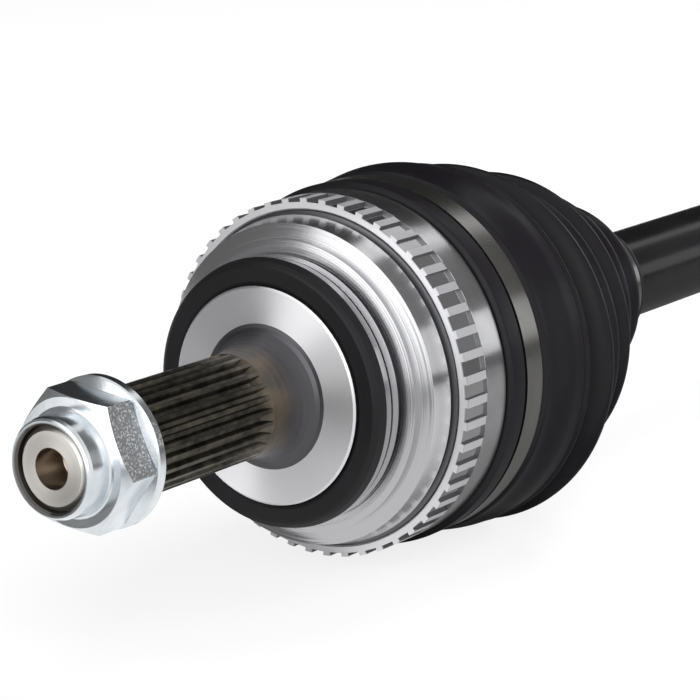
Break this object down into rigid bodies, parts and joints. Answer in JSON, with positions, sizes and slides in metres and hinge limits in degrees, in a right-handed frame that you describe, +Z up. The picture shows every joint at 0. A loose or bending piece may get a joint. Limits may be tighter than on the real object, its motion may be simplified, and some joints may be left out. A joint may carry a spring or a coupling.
{
  "type": "drive shaft",
  "caption": "Front half-shaft with a ball-type fixed joint at the wheel, a plunging ball joint at the gearbox, rubber boots, a toothed ring and an axle nut.",
  "frame": {"origin": "on the shaft's axis in the plane of the seat face that the wheel hub is clamped against", "axes": "+X along the shaft from the axle nut to the gearbox stub, +Z up"},
  "size_m": [0.6754, 0.0992, 0.099],
  "materials": {
    "turned_steel": "fine turned, slightly oxidised",
    "zinc": "bright zinc plated",
    "seal_black": "satin moulded",
    "ring_steel": "bright zinc plated",
    "boot_rubber": "satin moulded",
    "clamp_steel": "dark phosphated",
    "bar_paint": "glossy black",
    "race_steel": "ground and greased",
    "ball_steel": "polished",
    "spring_steel": "dark spring steel",
    "housing_paint": "satin black with machined journal"
  },
  "bodies": {
    "bell": {"outer_race": "turned_steel", "hub_seal_ring": "seal_black", "tone_ring": "ring_steel", "outer_boot": "boot_rubber", "outer_boot_clamp_large": "clamp_steel"},
    "nut_seat": {"nut_washer": "zinc"},
    "nut": {"axle_nut": "zinc"},
    "outer_cage_set": {"outer_cage": "race_steel", "outer_ball_1": "ball_steel", "outer_ball_2": "ball_steel", "outer_ball_3": "ball_steel", "outer_ball_4": "ball_steel", "outer_ball_5": "ball_steel", "outer_ball_6": "ball_steel"},
    "bar": {"axle_bar": "bar_paint", "outer_inner_race": "race_steel", "outer_circlip": "spring_steel", "outer_boot_clamp_small": "clamp_steel", "inner_race": "race_steel", "inner_circlip": "spring_steel", "inner_boot_clamp_small": "clamp_steel"},
    "carrier": {"inner_ball_2": "ball_steel", "inner_ball_5": "ball_steel"},
    "inner_cage_set": {"inner_cage": "race_steel", "inner_ball_1": "ball_steel", "inner_ball_3": "ball_steel", "inner_ball_4": "ball_steel", "inner_ball_6": "ball_steel"},
    "housing": {"inner_housing": "housing_paint", "housing_wire_ring": "spring_steel", "stub_circlip": "spring_steel", "inner_boot": "boot_rubber", "inner_boot_clamp_large": "clamp_steel"}
  },
  "joints": [
    {"name": "outer_bend", "type": "hinge", "parent": "bell", "child": "bar", "pos_m": [0.038, 0, 0], "axis": [0, 0, 1], "range_deg": [-45, 45], "deforming": ["outer_boot"]},
    {"name": "outer_cage_bend", "type": "hinge", "parent": "bell", "child": "outer_cage_set", "pos_m": [0.038, 0, 0], "axis": [0, 0, 1], "range_deg": [-22.5, 22.5]},
    {"name": "inner_bend", "type": "hinge", "parent": "bar", "child": "carrier", "pos_m": [0.478, 0, 0], "axis": [0, 1, 0], "range_deg": [-17, 17], "deforming": ["inner_boot"]},
    {"name": "inner_cage_bend", "type": "hinge", "parent": "bar", "child": "inner_cage_set", "pos_m": [0.478, 0, 0], "axis": [0, 1, 0], "range_deg": [-8.5, 8.5]},
    {"name": "inner_plunge", "type": "slide", "parent": "carrier", "child": "housing", "axis": [1, 0, 0], "range_m": [-0.018, 0.018], "deforming": ["inner_boot"]},
    {"name": "nut_travel", "type": "slide", "parent": "bell", "child": "nut_seat", "axis": [1, 0, 0], "range_m": [-0.0121, 0]},
    {"name": "nut_turn", "type": "hinge", "parent": "nut_seat", "child": "nut", "pos_m": [-0.07, 0, 0], "axis": [1, 0, 0], "range_deg": [-2880, 0]}
  ],
  "couplings": [
    {"joint": "outer_cage_bend", "follows": "outer_bend", "ratio": 0.5},
    {"joint": "inner_cage_bend", "follows": "inner_bend", "ratio": 0.5},
    {"joint": "nut_travel", "follows": "nut_turn", "m_per_rad": 0.00023873}
  ]
}
